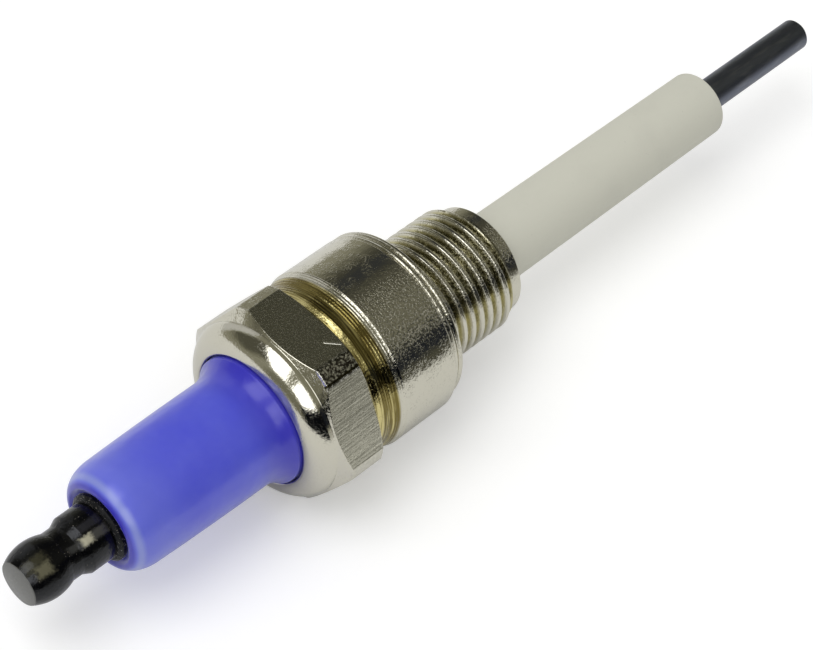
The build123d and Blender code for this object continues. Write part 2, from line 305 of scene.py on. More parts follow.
@dataclass(frozen=True)
class NickelPlate(Finish):
    """Warm nickel plating on steel: micro-pitted, lined by the tool, worn along the corners, with grime
    and painted shade in the thread roots, painted shade along one hexagon edge and on the top flat.
    """

    cut: Cut = Cut.TURNED
    plate: Colour = shade(0.66, 0.64, 0.545)
    # the top flat's colour, painted darker as shade
    shaded_top_flat: Colour = shade(0.48, 0.47, 0.38)
    ground: Colour = shade(0.67, 0.655, 0.545)
    pit: Colour = shade(0.44, 0.42, 0.33)
    dark: Colour = shade(0.07, 0.065, 0.05)
    gold: Colour = shade(0.68, 0.595, 0.275)
    brown: Colour = shade(0.20, 0.16, 0.05)
    olive: Colour = shade(0.50, 0.46, 0.24)
    # near black, used for grime and painted shade in the thread roots, and for a painted dark line
    # along one hexagon edge
    grime_and_shade: Colour = shade(0.045, 0.040, 0.018)
    worn: Colour = shade(0.80, 0.79, 0.73)
    bare: Colour = shade(0.95, 0.94, 0.88)
    fine: Grain = Grain(6.0, 4.0)
    rough: Grain = Grain(4.0)
    specks: Grain = Grain(4.8, 4.0, (0.53, 0.63))
    patches: Grain = Grain(0.8, 4.0, (0.38, 0.62))
    blots: Grain = Grain(2.6, 4.0, (0.36, 0.52))
    chips: Grain = Grain(3.4, 4.0, (0.42, 0.62))
    dents: Grain = Grain(3.4, 2.0)
    rings: Grain = Grain(1.0, 3.0, (0.42, 0.66), (5.0, 0.25, 0.25))
    lines: Grain = Grain(1.2, 3.0, (0.35, 0.65), (0.10, 4.0, 4.0))
    # turn bands and their weights where the thread roots are painted with shade
    shaded_turns: tuple[Triple, ...] = ((1.10, 1.72, 1.0), (1.72, 2.02, 0.45), (2.02, 2.60, 1.0))
    shaded_turns_soft: float = 0.2
    grime_elsewhere: float = 0.4
    grime_cover: Pair = (0.55, 1.0)
    grime_dulls: float = 0.2
    pitting: Pair = (0.08, 0.9)
    milled_pitting: float = 0.12
    pits_dull: float = 0.45
    pit_depth: float = 0.25
    grain_height: Pair = (0.10, 1.3)
    milled_grain: Pair = (0.5, 0.22)
    handled: Triple = (1.66, 2.34, 0.35)
    collar_x: Pair = (-8.0, -7.0)
    rim_end: Pair = (-16.7, -15.8)
    rim_wear: Pair = (0.06, 0.3)
    browner: Pair = (-10.2, -9.8)
    browning: float = 0.14
    # turn band and softness of a dark line painted as shade along one hexagon edge
    painted_dark_edge: Triple = (2.153, 2.176, 0.008)
    scratch: tuple[Pair, Pair] = ((-12.8, -2.6), (-11.6, -3.8))
    scratch_width: float = 0.18
    scratch_soft: Pair = (0.2, 0.08)
    groove: Triple = (-11.3, -7.9, 0.25)
    thread: Triple = (1.2, 12.0, 0.4)
    deep: Pair = (6.33, 6.93)
    flank: Pair = (6.63, 6.89)
    yellowing: float = 0.85
    corner: Pair = (10.85, 11.05)
    corner_wear: Pair = (0.12, 1.0)
    dent_depth: float = 1.6
    knocked: Triple = (1.85, 2.35, 0.2)
    hexagon: Triple = (-15.9, -11.5, 0.1)
    upper_z: Pair = (9.8, 9.9)
    upper_polish: float = 0.8
    line_tint: float = 0.26
    line_height: float = 0.25
    relief: float = 0.06

    def wire(self, w: Surface) -> None:
        """Feed the shader from pits, stains, tool lines, wear and painted shade.

        Args:
            w: the material's wiring.
        """
        milled = self.cut is Cut.MILLED
        upper = w.rise(w.z, *self.upper_z) if milled else 0.0
        speck = w.spots(self.specks)
        patch = w.spots(self.patches)
        front_side = w.times(w.band(w.turn, *self.handled), w.rise(w.x, *self.collar_x))
        behind_rim = w.blend(w.rise(w.x, *self.rim_end), *self.rim_wear)
        handled = w.calc("MAXIMUM", front_side, w.times(patch, behind_rim))
        pitted = w.times(speck, self.milled_pitting if milled else w.blend(handled, *self.pitting))
        # the top flat is painted darker, as shade
        clean = w.mix(upper, self.ground, self.shaded_top_flat) if milled else self.plate
        colour = w.mix(pitted, clean, self.pit)
        ringed = w.plus(w.grain(self.rings), w.times(w.rise(w.x, *self.browner), self.browning))
        tarnish = w.mix(w.rise(ringed, *self.rings.spots), self.gold, self.brown)
        colour = w.mix(w.band(w.x, *self.groove), colour, tarnish)
        in_thread = w.band(w.x, *self.thread)
        # random grime patches, plus painted shade in the roots over the turn bands
        grime_and_shade_share = w.times(patch, self.grime_elsewhere)
        for low, high, amount in self.shaded_turns:
            grime_and_shade_share = w.plus(grime_and_shade_share, w.times(w.band(w.turn, low, high, self.shaded_turns_soft), amount))
        grime_and_shade_share = w.calc("MINIMUM", grime_and_shade_share, 1.0)
        root_grime_and_shade = w.times(in_thread, w.fall(w.radius, *self.deep), grime_and_shade_share)
        yellowed = w.times(in_thread, w.fall(w.radius, *self.flank), self.yellowing)
        colour = w.mix(yellowed, colour, self.olive)
        # the roots darken in blotches with grime and painted shade
        covered = w.times(root_grime_and_shade, w.blend(w.spots(self.blots), *self.grime_cover))
        colour = w.mix(covered, colour, self.grime_and_shade)
        on_hexagon = w.band(w.x, *self.hexagon)
        knocked = w.blend(w.band(w.turn, *self.knocked), *self.corner_wear)
        at_corner = w.times(on_hexagon, w.rise(w.radius, *self.corner), knocked)
        colour = w.mix(at_corner, colour, w.mix(w.spots(self.chips), self.dark, self.worn))
        # painted shade: a thin dark line along the edge between a corner and the next flat
        painted_dark_edge = w.times(on_hexagon, w.band(w.turn, *self.painted_dark_edge))
        colour = w.mix(painted_dark_edge, colour, self.grime_and_shade)
        rough = w.blend(w.grain(self.fine), *self.cut.value)
        rough = w.plus(rough, w.times(pitted, self.pits_dull), w.times(root_grime_and_shade, self.grime_dulls))
        grains = w.minus(w.grain(self.rough), w.times(speck, self.pit_depth))
        grains = w.times(grains, w.blend(w.calc("MAXIMUM", handled, upper), *self.grain_height))
        if milled:
            lines = w.grain(self.lines)
            lined = w.minus(1.0, w.times(upper, self.upper_polish))
            streaks = w.times(w.rise(lines, *self.lines.spots), lined, self.line_tint)
            scratch = w.times(self.scratched(w), upper)
            colour = w.mix(scratch, w.mix(streaks, colour, self.dark), self.bare)
            grains = w.times(grains, w.blend(upper, *self.milled_grain))
            height = w.plus(grains, w.times(lines, lined, self.line_height), scratch)
        else:
            height = w.plus(grains, w.times(at_corner, w.grain(self.dents), self.dent_depth))
        normal = w.bump(height, self.relief)
        w.feed(w.shader, Base_Color=colour, Metallic=1.0, Roughness=rough, Normal=normal)

    def scratched(self, w: Surface) -> Socket:
        """Give the short scratch on the upper flat.

        Args:
            w: the material's wiring.

        Returns:
            The scratch's share, from 0 to 1.
        """
        (from_x, from_y), (to_x, to_y) = self.scratch
        length = math.hypot(to_x - from_x, to_y - from_y)
        dx, dy = (to_x - from_x) / length, (to_y - from_y) / length
        off_x, off_y = w.minus(w.x, from_x), w.minus(w.y, from_y)
        along = w.plus(w.times(off_x, dx), w.times(off_y, dy))
        across = w.minus(w.times(off_x, dy), w.times(off_y, dx))
        half = self.scratch_width / 2
        soft_along, soft_across = self.scratch_soft
        return w.times(w.band(along, 0.0, length, soft_along), w.band(across, -half, half, soft_across))


@dataclass(frozen=True)
class BlueCeramic(Finish):
    """Soft waxy blue of the upper insulator, painted deeper as shade in its dish and at its foot,
    painted lighter towards the end, with a painted highlight along the end's round and a faint mould
    line.
    """

    body: Colour = shade(0.062, 0.072, 0.65)
    pale: Colour = shade(0.19, 0.23, 0.72)
    # deeper blue painted as shade in the dish and at the foot
    deep: Colour = shade(0.032, 0.027, 0.47)
    # pale blue painted as a highlight along the end's round
    edge: Colour = shade(0.27, 0.32, 0.68)
    clouds: Grain = Grain(0.35)
    cloudiness: float = 0.3
    haze: Grain = Grain(1.2, 2.0)
    skin: Grain = Grain(1.1, 2.0)
    ripples: Grain = Grain(0.42, 1.0)
    mould_gaps: Grain = Grain(1.5, 2.0, (0.35, 0.65))
    # radii and softness of the highlight painted on the end's round, and its strength
    edge_radii: Triple = (5.02, 5.38, 0.28)
    edge_highlight: float = 0.75
    # radii of the painted shade in the dish
    dish_radii: Pair = (4.6, 5.0)
    end_x: Pair = (-36.9, -36.5)
    # where the blue is painted lighter towards the end, as light, and by how much
    paler: Pair = (-36.0, -30.0)
    paling: float = 0.38
    # where the foot by the shell's hole is painted with shade
    foot: Pair = (-23.5, -19.0)
    mould_deg: float = 124.9
    mould_width: float = 0.012
    mould_soft: float = 0.008
    mould_run: Triple = (-33.5, -22.5, 0.6)
    skin_height: float = 0.6
    rough: Pair = (0.30, 0.42)
    relief: float = 0.012
    waviness: float = 0.16

    def wire(self, w: Surface) -> None:
        """Feed the shader from cloudy colour, painted light and shade, and the mould line.

        Args:
            w: the material's wiring.
        """
        colour = w.mix(w.times(w.grain(self.clouds), self.cloudiness), self.body, self.pale)
        # painted light: the blue grows paler towards the end
        colour = w.mix(w.times(w.fall(w.x, *self.paler), self.paling), colour, self.pale)
        # painted shade: deeper blue in the dish round the ring and at the foot by the shell's hole
        at_end = w.fall(w.x, *self.end_x)
        dish = w.times(at_end, w.fall(w.radius, *self.dish_radii))
        colour = w.mix(w.calc("MAXIMUM", dish, w.rise(w.x, *self.foot)), colour, self.deep)
        # painted highlight: a pale band along the end's round
        edge = w.times(at_end, w.band(w.radius, *self.edge_radii), self.edge_highlight)
        colour = w.mix(edge, colour, self.edge)
        mould_turn, half = math.radians(self.mould_deg), self.mould_width / 2
        ridge = w.band(w.turn, mould_turn - half, mould_turn + half, self.mould_soft)
        ridge = w.times(ridge, w.band(w.x, *self.mould_run), w.spots(self.mould_gaps))
        skin = w.plus(w.times(w.grain(self.skin), self.skin_height), ridge)
        w.feed(
            w.shader,
            Base_Color=colour,
            Roughness=w.blend(w.grain(self.haze), *self.rough),
            Normal=w.bump(skin, self.relief, w.bump(w.grain(self.ripples), self.waviness)),
            Subsurface_Weight=0.25,
            Subsurface_Radius=(0.4, 0.5, 1.0),
            Subsurface_Scale=0.8 * MM,
            Coat_Weight=0.5,
            Coat_Roughness=0.16,
            Sheen_Weight=0.35,
            Sheen_Roughness=0.35,
            Sheen_Tint=shade(0.75, 0.82, 1.0),
        )


@dataclass(frozen=True)
class WhiteCeramic(Finish):
    """Unglazed white ceramic: matte, faintly ground round and round, with small grey marks."""

    body: Colour = shade(0.605, 0.60, 0.51)
    stain: Colour = shade(0.42, 0.41, 0.36)
    fine: Grain = Grain(5.0, 5.0)
    clouds: Grain = Grain(0.22, 4.0, (0.45, 0.75))
    marks: Grain = Grain(2.4, 2.0, (0.70, 0.80))
    cloud_share: float = 0.12
    mark_share: float = 0.5
    ring_height: float = 0.35
    rings: Grain = Grain(1.0, 2.0, stretch=(6.0, 0.12, 0.12))
    rough: Pair = (0.50, 0.68)
    relief: float = 0.014

    def wire(self, w: Surface) -> None:
        """Feed the shader from grain, faint stains and grinding lines.

        Args:
            w: the material's wiring.
        """
        fine = w.grain(self.fine)
        colour = w.mix(w.times(w.spots(self.clouds), self.cloud_share), self.body, self.stain)
        colour = w.mix(w.times(w.spots(self.marks), self.mark_share), colour, self.stain)
        height = w.plus(w.times(w.grain(self.rings), self.ring_height), fine)
        rough = w.blend(fine, *self.rough)
        w.feed(w.shader, Base_Color=colour, Roughness=rough, Normal=w.bump(height, self.relief))


@dataclass(frozen=True)
class DarkAlloy(Finish):
    """Drawn heat-resistant rod with a thin dark oxide and faint lines along its length."""

    body: Colour = shade(0.165, 0.180, 0.225)
    bare: Colour = shade(0.25, 0.265, 0.30)
    fine: Grain = Grain(8.0)
    lines: Grain = Grain(1.5, stretch=(0.3, 7.0, 7.0))
    wear_and_painted_reflections: Grain = Grain(1.5, 5.0, (0.45, 0.68), (0.25, 1.2, 1.2))
    rub_share: float = 0.6
    rough: Pair = (0.34, 0.52)
    relief: float = 0.008

    def wire(self, w: Surface) -> None:
        """Feed the shader from drawing lines and rubbed oxide.

        Args:
            w: the material's wiring.
        """
        lines = w.grain(self.lines)
        colour = w.mix(w.times(w.spots(self.wear_and_painted_reflections), self.rub_share), self.body, self.bare)
        rough = w.blend(lines, *self.rough)
        normal = w.bump(w.blend(0.5, lines, w.grain(self.fine)), self.relief)
        w.feed(w.shader, Base_Color=colour, Metallic=1.0, Roughness=rough, Normal=normal)


class Gloss(Enum):
    """How shiny a blackened terminal piece is, as its least and greatest roughness."""

    GLOSSY = (0.14, 0.23)
    ROUGH = (0.28, 0.50)


@dataclass(frozen=True)
class PaintedReflection:
    """A softly edged spot of painted reflection on the black."""

    centre_x: float
    centre_deg: float
    reach: Pair
    colour: Colour
    ragged: Grain = Grain(4.0, 5.0)
    raggedness: float = 1.1
    fade: Pair = (1.0, 1.9)

    def share(self, w: Surface) -> Socket:
        """Give how much of the painted reflection covers the black at a point.

        Args:
            w: the material's wiring.

        Returns:
            A share from 0 to 1.
        """
        off_x = w.calc("DIVIDE", w.minus(w.x, self.centre_x), self.reach[0])
        off_turn = w.minus(w.turn, math.radians(self.centre_deg))
        across = w.calc("DIVIDE", w.times(off_turn, w.radius), self.reach[1])
        far = w.calc("MAXIMUM", w.calc("ABSOLUTE", off_x), w.calc("ABSOLUTE", across))
        return w.fall(w.plus(far, w.times(w.grain(self.ragged), self.raggedness)), *self.fade)


@dataclass(frozen=True)
class BlackFinish(Finish):
    """Black lacquer on brass, with tiny bright specks, painted reflections and a rubbed end face."""

    gloss: Gloss = Gloss.GLOSSY
    body: Colour = shade(0.0014, 0.0014, 0.0018)
    speck: Colour = shade(0.34, 0.31, 0.24)
    rubbed: Colour = shade(0.14, 0.14, 0.13)
    dust: Grain = Grain(6.5, 3.0, (0.70, 0.75))
    dust_share: float = 0.8
    dust_height: float = 0.3
    haze: Grain = Grain(3.0)
    scuffs: Grain = Grain(5.0)
    scuffing: Pair = (0.75, 1.0)
    peel: Grain = Grain(2.6, 4.0)
    end_x: Pair = (-47.65, -47.59)
    relief: float = 0.034
    index: float = 1.41
    wear_and_painted_reflections: tuple[PaintedReflection, ...] = ()

    def wire(self, w: Surface) -> None:
        """Feed the shader from specks, painted reflections, a fine orange peel and the rubbed end.

        Args:
            w: the material's wiring.
        """
        dust = w.spots(self.dust)
        worn = w.mix(w.times(dust, self.dust_share), self.body, self.speck)
        # painted reflections laid over the black and its specks
        for painted_spot in self.wear_and_painted_reflections:
            worn = w.mix(painted_spot.share(w), worn, painted_spot.colour)
        scuffed = w.times(w.fall(w.x, *self.end_x), w.blend(w.grain(self.scuffs), *self.scuffing))
        w.feed(
            w.shader,
            Base_Color=w.mix(scuffed, worn, self.rubbed),
            Roughness=w.blend(w.grain(self.haze), *self.gloss.value),
            Normal=w.bump(w.plus(w.grain(self.peel), w.times(dust, self.dust_height)), self.relief),
            IOR=self.index,
            Specular_Tint=shade(0.92, 0.95, 1.0),
            Sheen_Weight=0.80,
            Sheen_Roughness=0.16,
        )


@dataclass(frozen=True)
class PlainFinish(Finish):
    """A hidden inner piece: a mottled colour, with its own shine and grain."""

    first: Colour = shade(0.5, 0.5, 0.5)
    second: Colour = shade(0.4, 0.4, 0.4)
    metal: float = 0.0
    rough: Pair = (0.42, 0.58)
    mottle: Grain = Grain(3.0, 4.0)
    depth: float = 0.01

    def wire(self, w: Surface) -> None:
        """Feed the shader from one noise.

        Args:
            w: the material's wiring.
        """
        mottle = w.grain(self.mottle)
        w.feed(
            w.shader,
            Base_Color=w.mix(mottle, self.first, self.second),
            Metallic=self.metal,
            Roughness=w.blend(mottle, *self.rough),
            Normal=w.bump(mottle, self.depth),
        )


@dataclass
class Outline:
    """A turned piece's closed outline, drawn as X along the axis and radius, in millimetres."""

    points: list[Pair] = field(default_factory=list)

    def to(self, x: float, radius: float, steps: int = 1) -> None:
        """Draw a straight line from the last point, in equal steps.

        Args:
            x: where the line ends along the axis.
            radius: where it ends across the axis.
            steps: how many lengths it has.
        """
        last_x, last_radius = self.points[-1]
        for share in (step / steps for step in range(1, steps + 1)):
            height = last_radius + (radius - last_radius) * share
            self.points.append((last_x + (x - last_x) * share, height))

    def arc(self, centre: Pair, reach: Pair, sweep: Pair, steps: int) -> None:
        """Draw an arc of a circle or an ellipse from the last point.

        Args:
            centre: the arc's centre.
            reach: the arc's half lengths along and across the axis.
            sweep: its first and last angle in degrees, from +X towards larger radius.
            steps: how many lengths it has.
        """
        first, last = (math.radians(angle) for angle in sweep)
        for step in range(1, steps + 1):
            angle = first + (last - first) * step / steps
            across = centre[1] + reach[1] * math.sin(angle)
            self.points.append((centre[0] + reach[0] * math.cos(angle), across))

    def round(self, centre: Pair, radius: float, sweep: Pair, steps: int) -> None:
        """Draw an arc of a circle from the last point."""
        self.arc(centre, (radius, radius), sweep, steps)


def pick(*pieces: Piece) -> None:
    """Select only these pieces, with the last one active.

    Args:
        pieces: the pieces.
    """
    bpy.ops.object.select_all(action="DESELECT")
    for piece in pieces:
        piece.select_set(True)
        bpy.context.view_layer.objects.active = piece


def edit(piece: Piece) -> None:
    """Select only this piece and enter edit mode with all of it selected.

    Args:
        piece: the piece.
    """
    pick(piece)
    bpy.ops.object.mode_set(mode="EDIT")
    bpy.ops.mesh.select_mode(type="VERT")
    bpy.ops.mesh.select_all(action="SELECT")


def leave() -> None:
    """Go back to object mode."""
    bpy.ops.object.mode_set(mode="OBJECT")


def merge_doubles() -> None:
    """Merge the doubles of the piece in edit mode, with all of it selected before and after."""
    bpy.ops.mesh.select_all(action="SELECT")
    bpy.ops.mesh.remove_doubles(threshold=MERGE)
    bpy.ops.mesh.select_all(action="SELECT")


def close_up() -> None:
    """Merge the doubles of the piece in edit mode, turn its faces outwards, and leave edit mode."""
    merge_doubles()
    bpy.ops.mesh.normals_make_consistent(inside=False)
    leave()


def apply_last(piece: Piece) -> None:
    """Apply the piece's last modifier."""
    bpy.ops.object.modifier_apply(modifier=piece.modifiers[-1].name)


def draw_line(points: list[Pair], centre: Pair = (0.0, 0.0)) -> Piece:
    """Draw a line by extruding one vertex, and stay in edit mode.

    Args:
        points: places along and across the axis, in millimetres.
        centre: how far the axis lies off X, in millimetres.

    Returns:
        The new object, with only edges.
    """
    bpy.ops.object.select_all(action="DESELECT")
    bpy.ops.mesh.primitive_plane_add(size=MM)
    piece = bpy.context.active_object
    edit(piece)
    bpy.ops.mesh.merge(type="CENTER")
    first_x, first_radius = points[0]
    bpy.ops.transform.translate(value=(first_x * MM, (first_radius + centre[0]) * MM, centre[1] * MM))
    for (x, radius), (next_x, next_radius) in zip(points, points[1:]):
        step = ((next_x - x) * MM, (next_radius - radius) * MM, 0.0)
        bpy.ops.mesh.extrude_region_move(TRANSFORM_OT_translate={"value": step})
    return piece


@dataclass(frozen=True)
class Edge:
    """A bevel: its width, the least angle between faces that counts as sharp, and its faces."""

    width: float
    over_deg: float
    faces: int


@dataclass
class Turned(ABC):
    """A piece turned from a closed outline, as on a lathe, that replaces a CAD node."""

    node: str
    slot: str
    finish: Finish
    smooth_deg: float = 40.0
    edge: Edge | None = None
    segments: int = 192
    centre: Pair = (0.0, 0.0)

    @abstractmethod
    def outline(self) -> Outline:
        """Draw the piece's outline, outside and bores.

        Returns:
            The closed outline.
        """

    def spin(self) -> Piece:
        """Draw the outline and spin it round the axis.

        Returns:
            The closed mesh object, at the origin.
        """
        points = self.outline().points
        piece = draw_line(points + points[:1], self.centre)
        piece.name = piece.data.name = f"{self.node}_dressed"
        merge_doubles()
        bpy.ops.mesh.spin(
            steps=self.segments,
            angle=TURN,
            center=(0.0, self.centre[0] * MM, self.centre[1] * MM),
            axis=(1.0, 0.0, 0.0),
            use_auto_merge=True,
        )
        close_up()
        return piece

    def soften(self, piece: Piece) -> None:
        """Round the piece's sharp edges with a bevel that is applied.

        Args:
            piece: the piece.
        """
        pick(piece)
        bevel = piece.modifiers.new("Edges", "BEVEL")
        bevel.width = self.edge.width * MM
        bevel.segments = self.edge.faces
        bevel.limit_method = "ANGLE"
        bevel.angle_limit = math.radians(self.edge.over_deg)
        apply_last(piece)
        edit(piece)
        close_up()

    def shape(self) -> Piece:
        """Spin the piece and round its sharp edges.

        Returns:
            The piece before it is smoothed.
        """
        piece = self.spin()
        if self.edge is not None:
            self.soften(piece)
        return piece

    def build(self) -> Piece:
        """Shape the piece, smooth it, give it its finish, hang it on the root body and hide the CAD
        node that it replaces.

        Returns:
            The finished piece.
        """
        piece = self.shape()
        pick(piece)
        bpy.ops.object.shade_smooth_by_angle(angle=math.radians(self.smooth_deg))
        piece.data.materials.clear()
        piece.data.materials.append(self.finish.material())
        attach(piece, "root")
        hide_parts(self.node)
        return piece


@dataclass
class Shell(Turned):
    """The plated steel body: rolled rim, hexagon, groove, collar, thread and pilot, in one piece."""

    node: str = "shell"
    slot: str = "plated_steel"
    finish: Finish = NickelPlate("nickel_plate")
    flats_finish: Finish = NickelPlate("nickel_plate_milled", Cut.MILLED)
    smooth_deg: float = 35.0
    edge: Edge = Edge(0.12, 24.0, 3)
    thread_radius: float = 7.0
    thread_pitch: float = 1.25
    thread_depth: float = 0.64
    thread_phase_x: float = 6.68
    thread_phase_deg: float = 115.6
    thread_flank_deg: float = 30.0
    thread_flat: float = 0.19
    thread_segments: int = 192
    thread_merge: float = 0.002
    crest_dents: tuple[Pair, ...] = ((0.25, 0.016), (0.55, 0.010), (0.78, 0.0), (1.05, 0.022))
    flank_shares: tuple[float, ...] = (0.15, 0.4, 0.65, 0.86)
    root_round: tuple[Pair, ...] = ((0.01, 0.035), (0.06, 0.006))
    sunk_radius: float = 5.9
    inner_radius: float = 5.5
    relief: Pair = (1.5, 6.15)
    run_in_x: float = 1.9
    run_out_x: float = 11.2
    pilot_radius: float = 6.15
    end_x: float = 13.5
    end_chamfer: float = 0.2
    collar_radius: float = 9.9995
    collar_length: float = 7.2
    collar_chamfer: float = 0.35
    groove_radius: float = 9.48
    groove_low: float = 9.08
    groove_turn_x: float = -9.95
    collar_edge: float = 0.07
    land_radius: float = 9.66
    land_length: float = 0.6
    flats: float = 20.0
    corner_radius: float = 11.096
    hexagon: Pair = (-15.7, -11.6)
    undercut: float = 0.5
    undercut_drop: float = 0.12
    groove_round: float = 0.35
    line_pitch: float = 0.30
    line_depth: float = 0.028
    chamfer_deg: float = 33.0
    roll_radius: float = 3.0
    roll_centre: Pair = (-15.81, 7.0)
    roll_start_radius: float = 9.8
    lip: Pair = (-18.468, 7.2)
    lip_round: float = 0.3
    lip_length: float = 0.45
    bore_radius: float = 8.0
    bore_end_x: float = -17.075
    nose_bore_radius: float = 4.6
    ledge_x: float = -2.4
    ledge_deg: float = 30.0
    flat_gap: float = -0.0002
    cut_slack: float = 0.0001
    least_flat: float = 12.0
    flat_reach: float = 1.0
    flat_tilt: float = 0.01
    flat_weight: int = 80
    sides: int = 6
    wave_steps: int = 6
    roll_steps: int = 28
    lip_steps: int = 6

    def turn_lines(self, drawn: Outline, end: Pair) -> None:
        """Draw a line with the shallow waves that a turning tool leaves.

        Args:
            drawn: the outline that the line is added to.
            end: where the line ends, along and across the axis.
        """
        start_x, start_radius = drawn.points[-1]
        length = math.hypot(end[0] - start_x, end[1] - start_radius)
        waves = max(1, round(length / self.line_pitch))
        steps = waves * self.wave_steps
        for step in range(1, steps + 1):
            share = step / steps
            dip = self.line_depth * (1 - math.cos(TURN * waves * share)) / 2
            radius = start_radius + (end[1] - start_radius) * share - dip
            drawn.to(start_x + (end[0] - start_x) * share, radius)

    def outline(self) -> Outline:
        """Draw the whole outline, outside and bores.

        Returns:
            The closed outline.
        """
        roll_x, roll_r = self.roll_centre
        start_x = roll_x - math.sqrt(self.roll_radius**2 - (self.roll_start_radius - roll_r) ** 2)
        lip_x, lip_r = self.lip
        lip_top_r = lip_r + self.lip_round
        start_deg = math.degrees(math.atan2(self.roll_start_radius - roll_r, start_x - roll_x))
        end_deg = 180.0 - math.degrees(math.asin((lip_top_r - roll_r) / self.roll_radius))
        rear, front = self.hexagon
        fall = (self.corner_radius - self.roll_start_radius) * math.tan(math.radians(self.chamfer_deg))
        collar_rear = -self.collar_length
        ledge_width = self.bore_radius - self.nose_bore_radius
        ledge_inner = self.ledge_x + ledge_width * math.tan(math.radians(self.ledge_deg))
        drawn = Outline([(start_x, self.roll_start_radius)])
        drawn.round(self.roll_centre, self.roll_radius, (start_deg, end_deg), self.roll_steps)
        drawn.round((lip_x, lip_top_r), self.lip_round, (180.0, 270.0), self.lip_steps)
        drawn.to(lip_x + self.lip_length, lip_r)
        drawn.to(self.bore_end_x, self.bore_radius)
        drawn.to(self.ledge_x, self.bore_radius)
        drawn.to(ledge_inner, self.nose_bore_radius)
        drawn.to(self.end_x - self.end_chamfer, self.nose_bore_radius)
        drawn.to(self.end_x, self.nose_bore_radius + self.end_chamfer)
        drawn.to(self.end_x, self.pilot_radius - self.end_chamfer)
        drawn.to(self.end_x - self.end_chamfer, self.pilot_radius)
        drawn.to(0.0, self.relief[1])
        drawn.to(0.0, self.collar_radius - self.collar_chamfer)
        drawn.to(-self.collar_chamfer, self.collar_radius)
        drawn.to(collar_rear, self.collar_radius)
        drawn.to(collar_rear - self.collar_edge, self.collar_radius - self.collar_edge)
        self.turn_lines(drawn, (collar_rear - 2 * self.land_length, self.land_radius))
        self.turn_lines(drawn, (collar_rear - 3 * self.land_length, self.groove_radius))
        self.turn_lines(drawn, (self.groove_turn_x, self.groove_radius))
        corner = (front + self.undercut + self.groove_round, self.groove_low + self.groove_round)
        drawn.to(corner[0], self.groove_low)
        drawn.round(corner, self.groove_round, (270.0, 190.0), self.lip_steps)
        drawn.to(front + self.undercut, self.flats / 2 - self.undercut_drop)
        drawn.to(front, self.corner_radius)
        drawn.to(rear, self.corner_radius)
        drawn.to(rear - fall, self.roll_start_radius)
        return drawn

    def mill_flats(self, piece: Piece) -> None:
        """Cut the flats with planes, as a mill would.

        Args:
            piece: the turned body.
        """
        for side in range(self.sides):
            angle = math.radians((side + 0.5) * 360.0 / self.sides)
            outward = Vector((0.0, math.cos(angle), math.sin(angle)))
            edit(piece)
            bpy.ops.mesh.bisect(
                plane_co=outward * (self.flats / 2 + self.flat_gap) * MM,
                plane_no=outward,
                use_fill=True,
                clear_outer=True,
                threshold=self.cut_slack * MM,
            )
            leave()

    def thread_form(self) -> list[Pair]:
        """Draw one pitch of the thread, from root to root, with a crest that rolling has dented.

        Returns:
            Distance from the crest's middle and radius, in millimetres.
        """
        slope = 1 / math.tan(math.radians(self.thread_flank_deg))
        flat, crest, root = self.thread_flat, self.thread_radius, self.thread_radius - self.thread_depth
        run = self.thread_depth / slope
        side = [(flat * share, crest - dip) for share, dip in self.crest_dents]
        side += [(flat + share * run, crest - share * self.thread_depth) for share in self.flank_shares]
        side += [(flat + run + off, root + lift) for off, lift in self.root_round]
        side.append((self.thread_pitch / 2, root))
        return [(-off, radius) for off, radius in reversed(side)] + side

    def thread_limit(self, x: float) -> float:
        """Give the largest radius that the thread has at a place along the axis.

        Args:
            x: the place along the axis.

        Returns:
            The radius, which falls where the thread runs out.
        """
        foot_x, foot_radius = self.relief
        behind = (self.run_in_x - x) * (self.thread_radius - foot_radius) / (self.run_in_x - foot_x)
        ahead = x - self.run_out_x
        return max(self.sunk_radius, self.thread_radius - max(0.0, behind, ahead))

    def roll_thread(self) -> Piece:
        """Wind the thread with a screw, let it run out at both ends, and close it inside the wall.

        Returns:
            The closed thread, to be joined to the body.
        """
        pitch = self.thread_pitch
        at_start = self.thread_phase_x - pitch * self.thread_phase_deg / 360.0
        first = at_start - pitch * math.ceil((at_start - self.relief[0]) / pitch + 1)
        piece = draw_line([(first + x, radius) for x, radius in self.thread_form()])
        leave()
        screw = piece.modifiers.new("Thread", "SCREW")
        screw.axis = "X"
        screw.angle = TURN
        screw.screw_offset = pitch * MM
        last = self.run_out_x + self.thread_radius - self.sunk_radius
        screw.iterations = math.ceil((last - first) / pitch)
        screw.steps = screw.render_steps = self.thread_segments
        apply_last(piece)
        edit(piece)
        bpy.ops.mesh.remove_doubles(threshold=self.thread_merge * MM)
        leave()
        for vertex in piece.data.vertices:
            radius = math.hypot(vertex.co.y, vertex.co.z) / MM
            share = min(radius, self.thread_limit(vertex.co.x / MM)) / radius
            vertex.co.y *= share
            vertex.co.z *= share
        edit(piece)
        bpy.ops.mesh.select_mode(type="EDGE")
        bpy.ops.mesh.select_all(action="DESELECT")
        bpy.ops.mesh.select_non_manifold(extend=False)
        bpy.ops.mesh.extrude_region_move()
        inner = self.inner_radius / self.sunk_radius
        bpy.ops.transform.resize(value=(1.0, inner, inner), center_override=(0.0, 0.0, 0.0))
        bpy.ops.mesh.bridge_edge_loops()
        bpy.ops.mesh.select_all(action="SELECT")
        bpy.ops.mesh.normals_make_consistent(inside=False)
        leave()
        return piece

